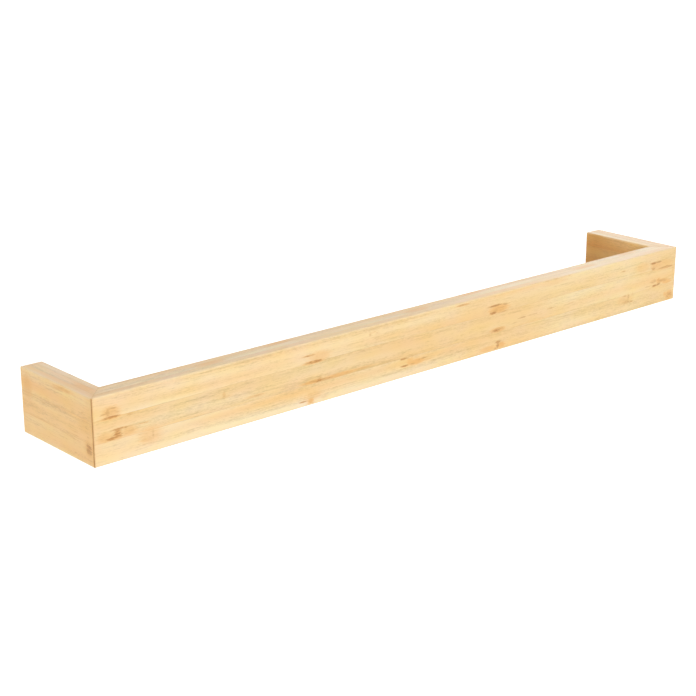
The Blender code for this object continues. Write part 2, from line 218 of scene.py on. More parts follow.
# Node marks on the rail's front: along the rail, height above its middle, half length, half height,
# darkness, warmth. The last four are long stretches of warmer wood
RAIL_MARKS = (
    (-305.5, 12.2, 2.2, 3.6, 0.65, 0.4), (-303, 8.3, 8.0, 1.2, 1.00, 0.8), (-301.3, 14.6, 3.0, 0.8, 0.80, 0.1),
    (-309, 11.3, 3.6, 0.8, 0.60, 0.5), (-288, 7.2, 3.0, 1.2, 0.40, 0.0), (-298.5, -4.8, 4.2, 3.8, 0.95, 0.6),
    (-296, -1.4, 9.5, 0.9, 0.80, 0.4), (-289, -4.5, 6.0, 3.0, 0.35, 0.6), (-302, -7.1, 6.5, 1.4, 1.00, 0.6),
    (-309, -5.0, 6.0, 3.6, 0.25, 0.6), (-277, -2.0, 7.0, 0.7, 0.55, 0.0), (-278, -9.8, 4.5, 1.0, 0.35, 0.3),
    (-275, -15.0, 5.5, 1.4, 0.28, 0.6), (-269.5, -12, 1.1, 4.2, 0.45, 0.3), (-272, -12.5, 8.0, 5.0, 0.08, 0.55),
    (-303, 11.5, 7.0, 4.5, 0.38, 0.7), (-207.5, 1.8, 1.5, 3.0, 0.40, 0.0), (-206, 0.4, 5.0, 0.9, 0.25, 0.2),
    (-179, -5.2, 8.0, 0.9, 0.35, 0.35), (-127, 14.4, 7.5, 0.8, 0.80, 0.5), (-122.5, 8.7, 9.0, 1.3, 1.00, 0.9),
    (-117, 12.0, 9.0, 3.6, 0.12, 0.6), (-118.5, -7.0, 3.2, 1.5, 1.00, 0.4), (-124, -7.0, 9.5, 1.1, 0.60, 0.9),
    (-112, -7.2, 8.0, 1.0, 0.60, 0.4), (-97, -7.0, 15.0, 1.3, 0.40, 0.85), (-117.5, -4.8, 1.6, 1.2, 0.40, 0.2),
    (-75, -6.8, 12.0, 0.9, 0.30, 0.5), (-134, -20.8, 4.0, 0.8, 0.75, 0.2), (-126.5, -21.6, 3.4, 2.3, 0.35, 1.0),
    (-124, -18.5, 8.0, 3.0, 0.10, 0.5), (-113, -21.0, 3.5, 1.6, 0.30, 0.3), (-66, 18.5, 1.5, 2.4, 0.40, 0.1),
    (-63, 19.5, 4.0, 0.9, 0.30, 0.3), (-58, 18, 2.5, 1.6, 0.30, 0.2), (-30, -9.3, 4.8, 1.0, 0.90, 0.4),
    (-20, -8.6, 5.0, 0.7, 0.35, 0.3), (-28.5, -15.4, 5.0, 1.0, 0.90, 0.4), (-20, -15.6, 3.2, 0.9, 0.70, 0.6),
    (-16, -14.4, 8.0, 2.0, 0.25, 1.0), (-23, -12.5, 3.2, 2.6, 0.10, 0.8), (-8.5, -13.0, 5.0, 0.8, 0.60, 0.2),
    (-3.5, -15, 4.5, 0.8, 0.50, 0.5), (36, 22.6, 7.0, 0.9, 0.60, 0.8), (79, 11.3, 11.5, 3.4, 0.42, 1.0),
    (74, 14.7, 10.0, 1.1, 1.00, 0.7), (86, 14.0, 6.0, 0.8, 0.60, 0.6), (71.8, 8.7, 4.8, 1.4, 0.95, 0.8),
    (83, 8.1, 8.0, 0.9, 0.45, 0.7), (62, 9.8, 3.0, 3.6, 0.18, 0.4), (76.5, -7.3, 5.2, 1.2, 1.00, 0.7),
    (78, -6.8, 9.0, 2.2, 0.52, 0.9), (65, -6.5, 11.0, 0.9, 0.35, 0.4), (99, -5.0, 6.0, 0.7, 0.40, 0.4),
    (108, -2.0, 6.0, 0.8, 0.55, 0.5), (121, -2.0, 7.0, 0.7, 0.50, 0.4), (79, -17.6, 4.0, 1.3, 0.85, 0.3),
    (78.5, -20.6, 2.0, 3.2, 0.80, 0.3), (76.5, -22.8, 2.4, 1.3, 0.70, 0.5), (83, -20.9, 4.2, 2.4, 0.20, 1.0),
    (84.5, -17.5, 3.0, 0.9, 0.40, 0.3), (67, -21.5, 10.0, 2.4, 0.15, 0.8), (150, 24.2, 22.0, 0.8, 0.45, 0.5),
    (145, 21.5, 18.0, 2.6, 0.05, 0.45), (144, -0.8, 5.0, 0.7, 0.60, 0.2), (284.5, 14.6, 5.2, 1.2, 1.00, 0.4),
    (292.5, 14.8, 5.5, 0.9, 0.75, 0.3), (301, 16.0, 6.0, 0.6, 0.40, 0.2), (285, 9.8, 3.0, 2.0, 0.65, 0.8),
    (288, 12.0, 7.0, 3.4, 0.18, 0.8), (303, 8.3, 12.5, 1.4, 0.70, 0.8), (300, 11.0, 16.0, 5.0, 0.10, 0.75),
    (265.5, 14.9, 3.0, 0.7, 0.60, 0.1), (270, 13, 9.0, 5.0, 0.0, 0.55), (242, 14.7, 3.0, 0.6, 0.60, 0.0),
    (288, -7.0, 4.8, 1.2, 1.00, 0.7), (293.5, -6.3, 2.2, 1.7, 1.00, 0.5), (293.5, -3.2, 2.8, 2.7, 0.35, 1.0),
    (286, -2.6, 4.6, 2.2, 0.50, 0.6), (300, -3.8, 8.0, 1.8, 0.55, 0.9), (306, -6.0, 7.0, 1.9, 0.10, 1.0),
    (278, -6.3, 5.5, 0.6, 0.45, 0.3), (310.5, -19.4, 5.0, 4.6, 0.60, 1.0), (304.5, -18.0, 2.2, 2.4, 0.15, 0.9),
    (314.3, 5.2, 1.3, 4.6, 0.35, 0.6), (245, -9.0, 3.2, 0.7, 0.65, 0.1), (247, -14.8, 6.4, 1.6, 0.60, 0.4),
    (250.3, -11.0, 1.5, 4.6, 0.50, 0.1), (255, -15.5, 2.8, 0.9, 0.65, 0.3), (256, -9.0, 1.6, 1.7, 0.35, 0.1),
    (246, -12.5, 9.5, 3.8, 0.18, 0.45), (212, 0.9, 1.5, 0.7, 0.40, 0.0), (221, -7.2, 3.0, 0.6, 0.40, 0.0),
    (171, -0.9, 4.0, 0.6, 0.40, 0.0), (88, 0, 55.0, 60.0, 0.0, 0.42), (60, 0, 150.0, 60.0, 0.0, 0.20),
    (318, 0, 45.0, 60.0, 0.0, 0.45), (-318, 0, 35.0, 60.0, 0.0, 0.16),
)
# The same on the left arm's outer side, from the wall at 0 to the front at -93
LEFT_ARM_MARKS = (
    (-87.5, -12.8, 4.6, 5.0, 0.85, 0.7), (-88.2, -12, 2.6, 2.8, 1.0, 0.2), (-81, 12, 1.2, 0.7, 0.6, 0.1),
    (-86.5, 2.0, 1.4, 0.8, 0.6, 0.2), (-87, -4.4, 1.2, 0.8, 0.6, 0.2), (-84, 3.0, 7.0, 5.0, 0.08, 0.35),
    (-70, -4.6, 7.5, 0.5, 0.3, 0.1), (-69, -7.2, 7.0, 0.5, 0.35, 0.1), (-70, -10.3, 7.0, 0.5, 0.3, 0.1),
    (-57, 22.4, 9.5, 1.3, 0.35, 0.8), (-49, 21.2, 5.0, 0.8, 0.3, 0.7), (-8.5, 12, 5.0, 8.0, 0.1, 0.75),
    (-30, 5.6, 3.5, 0.5, 0.35, 0.1), (-55, 8.2, 16.0, 0.5, 0.18, 0.2), (-24, -8.2, 18.0, 0.5, 0.25, 0.3),
)

# Zinc-plated steel
SPANGLE_FREQUENCY = 420.0
CLOUD_FREQUENCY = 160.0
STEEL_DETAIL = 3.0
SCRATCH_DETAIL = 2.0
STEEL_NOISE_ROUGHNESS = 0.6
STEEL_RUBBED_EDGE = (0.985, 0.88)
STEEL_RUBBED_PATCHES = (0.35, 0.6)
VALUE_OF_SPANGLE = 0.10
VALUE_OF_CLOUD = 0.35
DULLEST = 0.72             # of the plating's colour
SHINIEST = 1.12
DULL_STOP, PLAIN_STOP, SHINY_STOP = 0.2, 0.5, 0.8
RUBBED_COVER = 0.6
RUBBED_GREY = (0.86, 0.86, 0.86)
ROUGHNESS_OF_SCRATCH = 0.30
ROUGHNESS_OF_RUBBED = -0.12
HEIGHT_OF_CLOUD = 0.5
STEEL_BUMP = 0.5
STEEL_BUMP_METRES = 0.00002
PLATE_FINISH = ((0.43, 0.44, 0.455), 0.36, (5200.0, 400.0, 300.0))      # colour, roughness, frequencies
SCREW_FINISH = ((0.56, 0.55, 0.50), 0.30, (1500.0, 1500.0, 1500.0))

# Beech, with its grain along the dowels, which cross the mitres at 45 degrees
BEECH_ANGLE = math.radians(45.0)
BEECH_GRAIN_FREQUENCIES = (180.0, 2400.0, 2400.0)
BEECH_CLOUD_FREQUENCIES = (200.0, 200.0, 200.0)
BEECH_DETAIL = 3.0
BEECH_NOISE_ROUGHNESS = 0.6
TONE_OF_BEECH_GRAIN = 0.9
BEECH_RAMP = ((0.25, (0.50, 0.29, 0.14)), (0.5, (0.68, 0.45, 0.25)), (0.75, (0.76, 0.54, 0.32)))
BEECH_ROUGHNESS = 0.55
ROUGHNESS_OF_BEECH_GRAIN = 0.2
BEECH_BUMP = 0.6
BEECH_BUMP_METRES = 0.00005

# Wood glue in the mitres: a thin frame of it at each, just below the boards' faces, where it was wiped off
GLUE_THICKNESS = 0.28
GLUE_INSET = 0.05          # below the boards' faces
GLUE_WAVE = 0.03           # of its edge, which was wiped by hand
GLUE_WAVE_TURNS = (1.7, 0.61)              # radians from one point of the edge to the next
GLUE_WIDTH = 4.0           # of the frame, which stays clear of the dowels
GLUE_STEP = 1.6            # between points on its edge
CORNER_POINTS = 5
GLUE_CLOUD_FREQUENCIES = (300.0, 300.0, 120.0)
GLUE_DUST_FREQUENCIES = (2500.0, 2500.0, 1500.0)
GLUE_CLOUD_DETAIL = 3.0
TONE_OF_DUST = 0.5
GLUE_PALE_RAMP = ((0.5, (0.62, 0.36, 0.14)), (0.75, (0.74, 0.47, 0.21)), (0.95, (0.82, 0.58, 0.30)))
GLUE_DARK_RAMP = ((0.5, (0.26, 0.115, 0.03)), (0.95, (0.42, 0.21, 0.06)))
GLUE_ROUGHNESS = 0.3
ROUGHNESS_OF_GLUE_TONE = 0.3

# Floor, well below the bar, and light, in metres and watts
WHITE = (1.0, 1.0, 1.0, 1.0)
FLOOR_DROP = 0.85
FLOOR_SIZE = 30.0
FLOOR_RAMP = ((0.3, (0.86, 0.86, 0.86)), (0.7, (0.88, 0.88, 0.88)))
FLOOR_DETAIL = 3.0
FLOOR_ROUGHNESS = 0.9
FLOOR_GLOW = 0.75          # lifts the floor to white for the camera alone
FILL = 0.42                # of the plain light from all round
SOFTBOXES = (              # name, place, aim, width and height, power
    ("front light", (-4.6, -6.0, 0.9), (0.0, 0.0, 0.0), (3.6, 3.4), 271.0),
    ("middle light", (1.8, -4.8, 0.3), (0.0, 0.0, 0.0), (2.4, 1.4), 21.0),
    ("top light", (0.0, -0.2, 3.0), (0.0, 0.0, 0.0), (2.4, 2.4), 28.0),
    ("rear light", (3.1, 1.8, 0.82), (0.2, 0.0, 0.0), (1.6, 1.0), 5.0),
    ("side light", (3.6, 1.25, 0.78), (0.2, 0.0, 0.0), (1.2, 0.9), 7.5),
)

# Camera, where the photograph was taken from
CAMERA_PLACE = (-0.83187, -0.93343, 0.37029)
CAMERA_YAW = 41.475        # from +Y towards +X
CAMERA_PITCH = 17.698      # below the horizon
CAMERA_LENS = 79.746
SENSOR_WIDTH = 36.0
CLIP_START = 0.05
CLIP_END = 100.0

# The sockets of a Mix node that mixes colours
MIX_FACTOR, MIX_A, MIX_B, MIX_RESULT = 0, 6, 7, 2


class Nodes:
    """Short calls for the nodes of one material. A value is a number, a vector or another node's socket."""

    def __init__(self, tree):
        self.tree = tree

    def add(self, kind, inputs=None, **settings):
        node = self.tree.nodes.new(kind)
        for name, value in settings.items():
            setattr(node, name, value)
        for name, value in (inputs or {}).items():
            self.feed(node.inputs[name], value)
        return node

    def feed(self, socket, value):
        if isinstance(value, bpy.types.NodeSocket):
            self.tree.links.new(value, socket)
        elif isinstance(value, tuple) and len(value) == 3 and socket.type == "RGBA":
            socket.default_value = (*value, 1.0)
        else:
            socket.default_value = value

    def math(self, operation, a, b=0.0, c=0.0):
        return self.add("ShaderNodeMath", {0: a, 1: b, 2: c}, operation=operation).outputs[0]

    def times(self, a, b):
        return self.math("MULTIPLY", a, b)

    def plus(self, total, value, weight):
        """total, with value added that many times."""
        return self.math("MULTIPLY_ADD", value, weight, total)

    def swing(self, noise):
        """A noise as a swing about 0."""
        return self.math("SUBTRACT", noise, 0.5)

    def greatest(self, parts):
        """The greatest absolute value of a vector's three parts."""
        x, y, z = (self.math("ABSOLUTE", parts[axis]) for axis in "XYZ")
        return self.math("MAXIMUM", self.math("MAXIMUM", x, y), z)

    def vector(self, x, y, z):
        return self.add("ShaderNodeCombineXYZ", {0: x, 1: y, 2: z}).outputs[0]

    def vector_math(self, operation, *values):
        node = self.add("ShaderNodeVectorMath", dict(enumerate(values)), operation=operation)
        return node.outputs["Value" if operation == "LENGTH" else "Vector"]

    def clamp(self, value, low, high):
        return self.add("ShaderNodeClamp", {"Value": value, "Min": low, "Max": high}).outputs[0]

    def step(self, value, start, end, low=0.0, high=1.0):
        """A smooth step from low at start to high at end."""
        inputs = {"Value": value, "From Min": start, "From Max": end, "To Min": low, "To Max": high}
        return self.add("ShaderNodeMapRange", inputs, interpolation_type="SMOOTHSTEP").outputs[0]

    def noise(self, vector, detail=2.0, roughness=0.5):
        inputs = {"Vector": vector, "Scale": 1.0, "Detail": detail, "Roughness": roughness}
        return self.add("ShaderNodeTexNoise", inputs).outputs[0]

    def mix(self, factor, a, b, blend="MIX"):
        node = self.add("ShaderNodeMix", data_type="RGBA", blend_type=blend)
        self.feed(node.inputs[MIX_FACTOR], factor)
        self.feed(node.inputs[MIX_A], a)
        self.feed(node.inputs[MIX_B], b)
        return node.outputs[MIX_RESULT]

    def tinted(self, colour, tint):
        return self.mix(1.0, colour, tint, "MULTIPLY")

    def ramp(self, factor, stops):
        node = self.add("ShaderNodeValToRGB", {0: factor})
        elements = node.color_ramp.elements
        while len(elements) < len(stops):
            elements.new(0.5)
        for element, (position, colour) in zip(elements, stops):
            element.position = position
            element.color = (*colour, 1.0)
        return node.outputs[0]

    def bump(self, shader, height, strength, metres):
        bump = self.add("ShaderNodeBump", {"Height": height, "Strength": strength, "Distance": metres})
        self.feed(shader.inputs["Normal"], bump.outputs[0])


def new_material(name):
    """A material with its node helper and its Principled BSDF."""
    material = bpy.data.materials.new(name)
    material.use_nodes = True
    shader = material.node_tree.nodes["Principled BSDF"]
    return material, Nodes(material.node_tree), shader


def millimetres(nodes, metres, direction=1.0, offset=0.0):
    """A place along an axis in millimetres, counted in this direction. offset is its value at the origin."""
    return nodes.math("MULTIPLY_ADD", metres, direction / MM, offset)


def find_place(nodes, along, through):
    """Where a point of a board is: s along the grain, b through from the outer face and h up."""
    coordinates = nodes.add("ShaderNodeTexCoord").outputs
    place = nodes.add("ShaderNodeSeparateXYZ", {0: coordinates["Object"]}).outputs
    normal = nodes.add("ShaderNodeSeparateXYZ", {0: coordinates["Normal"]}).outputs
    s = millimetres(nodes, place[along[0]], *along[1:])
    b = millimetres(nodes, place[through[0]], *through[1:])
    h = millimetres(nodes, place["Z"], offset=BOARD_HEIGHT / 2)
    return SimpleNamespace(object=coordinates["Object"], place=place, normal=normal, s=s, b=b, h=h)


def find_strip(nodes, at, seed):
    """Adds which strip the point is in and four random values of the strip's own."""
    at.b_in = nodes.clamp(at.b, SKIN, BOARD_THICKNESS - SKIN)
    at.h_in = nodes.clamp(at.h, SKIN, BOARD_HEIGHT - SKIN)
    at.layer = nodes.math("FLOOR", nodes.math("DIVIDE", at.b_in, STRIP_THICKNESS))
    at.shifted = nodes.math("ADD", at.h_in, nodes.plus(FIRST_STRIP_CUT, at.layer, LAYER_STAGGER))
    at.strip = nodes.math("FLOOR", nodes.math("DIVIDE", at.shifted, STRIP_HEIGHT))
    own = nodes.add("ShaderNodeTexWhiteNoise", {"Vector": nodes.vector(at.strip, at.layer, seed)})
    at.one, at.two, at.three = nodes.add("ShaderNodeSeparateColor", {0: own.outputs["Color"]}).outputs
    at.four = own.outputs["Value"]


def find_fibre(nodes, at):
    """Adds the point's depth and height among the fibres, which wander a little.

    Each strip was also sawn at its own small angle to them.
    """
    at.far = nodes.times(at.one, STRIP_SHIFT)
    wander_place = nodes.vector(
        nodes.math("DIVIDE", at.s, WANDER_LENGTH), at.far, nodes.math("DIVIDE", at.h, WANDER_HEIGHT)
    )
    wander = nodes.noise(wander_place, WANDER_DETAIL)
    slope = nodes.times(nodes.swing(at.three), SAWN_SLOPE)
    at.hf = nodes.math("ADD", nodes.plus(at.h, wander, WANDER_UP), nodes.times(at.s, slope))
    at.bf = nodes.plus(at.b, wander, WANDER_THROUGH)


def streaks(nodes, at, length, height, depth, detail, roughness):
    """Noise drawn out along the grain, different in each strip."""
    vector = nodes.vector(
        nodes.plus(at.far, at.s, 1.0 / length),
        nodes.times(at.bf, 1.0 / depth),
        nodes.plus(at.far, at.hf, 1.0 / height),
    )
    return nodes.noise(vector, detail, roughness)


def fibre_bundles(nodes, at):
    """The distance from the nearest bundle's middle, in cells, and how much of a bundle the point is in."""
    vector = nodes.vector(
        nodes.plus(at.far, at.s, 1.0 / BUNDLE_LENGTH),
        nodes.math("DIVIDE", at.bf, BUNDLE_WIDTH),
        nodes.math("DIVIDE", at.hf, BUNDLE_WIDTH),
    )
    inputs = {"Vector": vector, "Scale": 1.0, "Randomness": BUNDLE_DISORDER}
    distance = nodes.add("ShaderNodeTexVoronoi", inputs).outputs["Distance"]
    return distance, nodes.step(distance, BUNDLE_RIM, BUNDLE_CORE)


def strip_joints(nodes, at, seed):
    """How strongly a joint between strips shows. Adds the distance from the nearest joint."""
    math_ = nodes.math
    at.across = math_("MODULO", at.shifted, STRIP_HEIGHT)
    from_joint = math_("MINIMUM", at.across, math_("SUBTRACT", STRIP_HEIGHT, at.across))
    at_bottom = nodes.step(at.h_in, *JOINT_HIDDEN)
    at_top = nodes.step(at.h_in, *(BOARD_HEIGHT - distance for distance in JOINT_HIDDEN))
    from_joint = math_("ADD", from_joint, math_("MAXIMUM", at_bottom, at_top))
    from_layers = [math_("ABSOLUTE", math_("SUBTRACT", at.b, count * STRIP_THICKNESS)) for count in (1, 2)]
    at.from_joint = math_("MINIMUM", from_joint, math_("MINIMUM", *from_layers))
    patches = nodes.noise(nodes.vector(math_("DIVIDE", at.s, JOINT_PATCH_LENGTH), seed, at.strip))
    return nodes.times(nodes.step(at.from_joint, *JOINT_PROFILE), nodes.step(patches, *JOINT_PATCHES))


def mitre_seam(nodes, at, seed):
    """The dark line on a mitre's outer corner, where glue came out.

    Adds the distance from the mitre, and how level the face is.
    """
    math_ = nodes.math
    from_end = math_("SUBTRACT", HALF_LENGTH, math_("ABSOLUTE", millimetres(nodes, at.place["X"])))
    from_front = millimetres(nodes, at.place["Y"], offset=DEPTH)
    at.from_mitre = math_("ABSOLUTE", math_("SUBTRACT", from_end, from_front))
    patch_place = nodes.vector(seed, seed, math_("DIVIDE", at.h, SEAM_PATCH_HEIGHT))
    patches = nodes.noise(patch_place, SEAM_DETAIL, SEAM_ROUGHNESS)
    seam = nodes.times(nodes.step(at.from_mitre, *SEAM_PROFILE), nodes.step(patches, *SEAM_PATCHES))
    at.level = math_("ABSOLUTE", at.normal["Z"])
    seam = nodes.times(seam, nodes.step(at.b, *SEAM_INWARD))
    return nodes.times(seam, nodes.step(at.level, *LEVEL_FACE, 1.0, 0.0))


def placed_nodes(nodes, torn_place, bar_place, frayed, marks):
    """The darkness and the warmth that placed node marks give: the strongest mark wins at each point.

    A mark that is taller than it is long is a bar across the grain, which is torn less.
    """
    dark = 0.0
    warm = 0.0
    for along, up, half_length, half_height, darkness, warmth in marks:
        place = bar_place if half_height > half_length else torn_place
        middle = (-along / half_length, -(up + BOARD_HEIGHT / 2) / half_height, 0.0)
        size = (1.0 / half_length, 1.0 / half_height, 0.0)
        scaled = nodes.vector_math("MULTIPLY_ADD", place, size, middle)
        reach = nodes.math("ADD", nodes.vector_math("LENGTH", scaled), frayed)
        dark = nodes.math("MAXIMUM", dark, nodes.step(reach, *MARK_DARK, 0.0, darkness))
        warm = nodes.math("MAXIMUM", warm, nodes.step(reach, *MARK_WARM, 0.0, warmth))
    return dark, warm


def growth_nodes(nodes, at, marks):
    """The darkness and the warmth of the culm's nodes.

    The outer layer has its placed marks. Every other strip has one node about every 200 mm: a warm patch
    with two dark lips in it, which are slid apart along the grain.
    """
    math_ = nodes.math

    def outline_noise(size, roughness):
        parts = (math_("DIVIDE", part, length) for part, length in zip((at.s, at.b, at.hf), size))
        return nodes.noise(nodes.vector(*parts), OUTLINE_DETAIL, roughness)

    ragged = outline_noise(RAGGED_SIZE, RAGGED_ROUGHNESS)
    fine = outline_noise(FRAYED_SIZE, FRAYED_ROUGHNESS)
    torn = nodes.swing(ragged)
    s_torn = nodes.plus(at.s, torn, TORN_BY)
    frayed = nodes.times(nodes.swing(fine), FRAYED_BY)

    def reach(along, up, half_size):
        scaled = nodes.vector(math_("DIVIDE", along, half_size[0]), math_("DIVIDE", up, half_size[1]), 0.0)
        return math_("ADD", nodes.vector_math("LENGTH", scaled), frayed)

    culm = math_("ADD", math_("DIVIDE", s_torn, NODE_SPACING), nodes.times(at.four, CULM_SHIFT))
    from_node = nodes.times(nodes.swing(math_("FRACT", culm)), NODE_SPACING)
    node_height = nodes.plus(NODE_LOWEST, at.two, NODE_RANGE)
    from_middle = math_("SUBTRACT", at.across, node_height)
    from_middle = nodes.times(from_middle, nodes.step(at.level, *LEVEL_FACE, 1.0, LEVEL_NODE_HEIGHT))
    node_reach = reach(from_node, from_middle, NODE_HALF_SIZE)
    darkness = nodes.step(at.level, *LEVEL_FACE, 1.0, LEVEL_NODE_DARKNESS)
    apart = nodes.plus(LIP_NEAREST, at.three, LIP_RANGE)
    from_lip = math_("ABSOLUTE", math_("SUBTRACT", math_("ABSOLUTE", from_middle), apart))
    slid = nodes.times(math_("SIGN", from_middle), nodes.plus(-LIP_SLIDE, at.one, 2 * LIP_SLIDE))
    lip_reach = reach(math_("ADD", from_node, slid), from_lip, LIP_HALF_SIZE)
    dark = nodes.times(nodes.step(lip_reach, *LIP_DARK), darkness)
    warm = nodes.step(node_reach, *NODE_WARM)
    if marks:
        torn_place = nodes.vector(s_torn, at.h, 0.0)
        bar_place = nodes.vector(nodes.plus(at.s, torn, BAR_TORN_BY), at.h, 0.0)
        placed = placed_nodes(nodes, torn_place, bar_place, frayed, marks)
        inner = nodes.step(at.b, *BEHIND_OUTER_LAYER)
        outer = math_("SUBTRACT", 1.0, inner)
        dark, warm = (
            math_("ADD", nodes.times(put, outer), nodes.times(free, inner))
            for put, free in zip(placed, (dark, warm))
        )
    return dark, warm


def find_faces(nodes, at, along_axis):
    """Adds how much a point is on end grain and how pale it is on or near an edge, from wear and from a painted
    highlight.
    """
    math_ = nodes.math
    at.end_grain = nodes.step(math_("ABSOLUTE", at.normal[along_axis]), *END_FACE)
    straight = nodes.greatest(at.normal)
    from_top = math_("MINIMUM", at.h, math_("SUBTRACT", BOARD_HEIGHT, at.h))
    from_side = math_("MINIMUM", at.b, math_("SUBTRACT", BOARD_THICKNESS, at.b))
    from_edge = math_("MAXIMUM", from_top, from_side)
    # The pale band along each edge is partly wear and partly a painted highlight of the rounded edge.
    edge = math_("MAXIMUM", nodes.step(straight, *ROUNDED_EDGE), nodes.step(from_edge, *WORN_AND_HIGHLIGHT_PROFILE))
    rub = nodes.noise(nodes.vector_math("MULTIPLY", at.object, (RUB_FREQUENCY,) * 3), RUB_DETAIL, RUB_ROUGHNESS)
    worn = nodes.times(edge, nodes.step(rub, *RUB_PATCHES))
    at.worn = nodes.times(worn, nodes.step(at.from_mitre, *WORN_AND_HIGHLIGHT_CLEAR_OF_MITRE))


def wood_colour(nodes, at, through_axis, span, outer_tints, inner_tint, back_tints):
    """The colour between the fibres, which changes from strip to strip and along the board."""
    tone = nodes.plus(TONE_MIDDLE, nodes.swing(at.noise["band"]), TONE_OF_BAND)
    tone = nodes.plus(tone, nodes.swing(at.one), TONE_OF_STRIP)
    colour = nodes.ramp(tone, BAMBOO_RAMP)
    colour = nodes.tinted(colour, nodes.mix(at.noise["broad"], *BROAD_HUES))
    colour = nodes.tinted(colour, nodes.mix(at.noise["patch"], *PATCH_HUES))
    way = nodes.step(at.s, *span)
    inside = nodes.step(at.b, *BEHIND_OUTER_LAYER)
    inside = nodes.math("MAXIMUM", inside, nodes.step(at.level, *LEVEL_FACE))
    tint = nodes.mix(inside, nodes.mix(way, *outer_tints), inner_tint)
    # On the right arm, the inner face's tints are painted light and shade.
    back = nodes.times(nodes.math("ABSOLUTE", at.normal[through_axis]), nodes.step(at.b, *BACK_HALF))
    tint = nodes.mix(back, tint, nodes.mix(way, *back_tints))
    return nodes.tinted(colour, tint)


def with_fibres(nodes, at, colour):
    """The colour with the fibres in it, as darker lines and flecks."""
    light = LIGHT_BASE
    for name, start, end, weight in LIGHT_STEPS:
        light = nodes.plus(light, nodes.step(at.noise[name], start, end), weight)
    for name, weight in LIGHT_SWINGS:
        light = nodes.plus(light, nodes.swing(at.noise[name]), weight)
    light = nodes.plus(light, at.bundle, LIGHT_OF_BUNDLE)
    light = nodes.math("SMOOTH_MIN", light, LIGHT_TOP, LIGHT_TOP_ROUNDING)
    lights = nodes.vector(nodes.math("POWER", light, RED_POWER), light, nodes.math("POWER", light, BLUE_POWER))
    return nodes.vector_math("MINIMUM", nodes.vector_math("MULTIPLY", colour, lights), BRIGHTEST)


def with_marks(nodes, at, colour):
    """The colour with strip joints, growth nodes, mitre seam, end grain and pale edges over it. The pale edges
    are wear and a painted highlight.
    """
    math_ = nodes.math
    colour = nodes.mix(nodes.times(at.joint, JOINT_COVER), colour, GLUE_BROWN)
    stained = math_("MAXIMUM", at.warm, nodes.times(at.dark, STAIN_OF_DARK))
    colour = nodes.mix(nodes.times(stained, STAIN_COVER), colour, NODE_ORANGE)
    broken = nodes.plus(nodes.times(at.dark, STROKE_OF_DARK), nodes.swing(at.noise["stroke"]), STROKE_CONTRAST)
    fibrous = nodes.times(at.dark, nodes.step(broken, *STROKES))
    fibrous = nodes.times(fibrous, nodes.step(at.noise["hair"], *STROKE_HAIRS))
    colour = nodes.mix(fibrous, colour, NODE_BROWN)
    colour = nodes.mix(nodes.times(at.seam, SEAM_COVER), colour, GLUE_BROWN)
    outward = math_("SUBTRACT", 1.0, math_("FRACT", math_("DIVIDE", at.b_in, STRIP_THICKNESS)))
    dot_rim = nodes.plus(DOT_RIM, outward, DOT_RIM_GROWTH)
    dot = nodes.times(at.end_grain, nodes.step(at.from_bundle, dot_rim, BUNDLE_CORE, 0.0, DOT_COVER))
    colour = nodes.mix(nodes.times(at.end_grain, END_GRAIN_COVER), colour, END_GRAIN_BROWN)
    colour = nodes.mix(nodes.times(at.end_grain, nodes.step(at.from_joint, *END_JOINT)), colour, GLUE_BROWN)
    colour = nodes.mix(dot, colour, DOT_BROWN)
    # Paler edges: wear, and a painted highlight.
    return nodes.mix(nodes.times(at.worn, WORN_AND_HIGHLIGHT_COVER), colour, PALE_EDGE_AND_HIGHLIGHT)


def lacquer(nodes, at, shader):
    """Satin lacquer, which lies in the pores."""
    rough = nodes.plus(WOOD_ROUGHNESS, at.noise["medium"], ROUGHNESS_OF_MEDIUM)
    rough = nodes.plus(rough, at.dark, ROUGHNESS_OF_DARK)
    rough = nodes.plus(rough, at.end_grain, ROUGHNESS_OF_END_GRAIN)
    rough = nodes.plus(rough, at.worn, ROUGHNESS_OF_WORN_AND_HIGHLIGHT)
    nodes.feed(shader.inputs["Roughness"], rough)
    height = nodes.plus(nodes.times(at.noise["medium"], HEIGHT_OF_NOISE), at.noise["fine"], HEIGHT_OF_NOISE)
    height = nodes.plus(height, at.bundle, HEIGHT_OF_BUNDLE)
    height = nodes.plus(height, at.joint, HEIGHT_OF_JOINT)
    height = nodes.plus(height, at.dark, HEIGHT_OF_DARK)
    nodes.bump(shader, height, WOOD_BUMP, WOOD_BUMP_METRES)
    shader.inputs["IOR"].default_value = WOOD_IOR
    shader.inputs["Coat Weight"].default_value = COAT_WEIGHT
    shader.inputs["Coat Roughness"].default_value = COAT_ROUGHNESS


